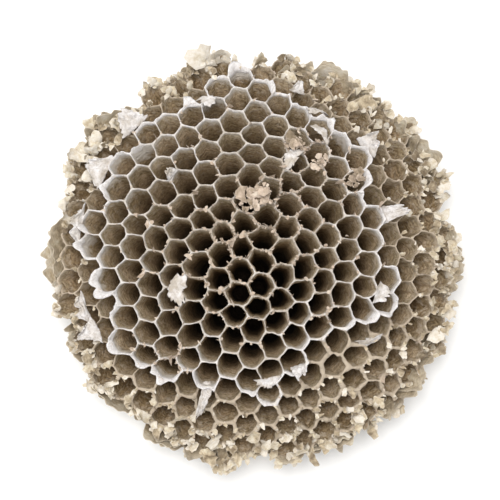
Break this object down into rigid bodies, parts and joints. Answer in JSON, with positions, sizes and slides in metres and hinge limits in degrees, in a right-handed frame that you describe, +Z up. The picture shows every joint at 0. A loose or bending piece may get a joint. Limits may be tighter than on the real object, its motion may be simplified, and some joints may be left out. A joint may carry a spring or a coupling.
{
  "type": "hornet nest",
  "caption": "Round domed comb of six-sided paper cells with white silk rims and the torn rest of its paper envelope, cut flat at the back.",
  "frame": {"origin": "middle of the flat back that the comb rests on", "axes": "+Z up out of the cell mouths, +X to the right and +Y to the top of the comb as seen facing the mouths"},
  "size_m": [0.1745, 0.1738, 0.0468],
  "materials": {
    "comb_paper": "rough grey-brown wood-pulp paper with fine bands of fibre",
    "envelope_paper": "thin curled cream to brown wood-pulp paper",
    "spun_silk": "matt bluish-white silk felt",
    "chewed_paper": "rough tan chewed paper"
  },
  "bodies": {
    "root": {"comb": "comb_paper", "envelope_left": "envelope_paper", "envelope_lower_left": "envelope_paper", "envelope_bottom": "envelope_paper", "envelope_bottom_right": "envelope_paper", "envelope_lower_right": "envelope_paper", "envelope_right": "envelope_paper", "envelope_upper_right": "envelope_paper", "envelope_top_right": "envelope_paper", "envelope_top": "envelope_paper", "envelope_upper_left": "envelope_paper", "silk_flap_1": "spun_silk", "silk_flap_2": "spun_silk", "silk_flap_3": "spun_silk", "silk_flap_4": "spun_silk", "silk_flap_5": "spun_silk", "silk_flap_6": "spun_silk", "silk_flap_7": "spun_silk", "silk_flap_8": "spun_silk", "silk_flap_9": "spun_silk", "silk_flap_10": "spun_silk", "silk_flap_11": "spun_silk", "silk_flap_12": "spun_silk", "silk_cap_1": "spun_silk", "silk_cap_2": "spun_silk", "silk_cap_3": "spun_silk", "silk_cap_4": "spun_silk", "silk_cap_5": "spun_silk", "silk_cap_6": "spun_silk", "silk_cap_7": "spun_silk", "paper_scrap_1": "chewed_paper", "paper_scrap_2": "chewed_paper", "paper_scrap_3": "chewed_paper", "paper_scrap_4": "chewed_paper"}
  },
  "joints": []
}
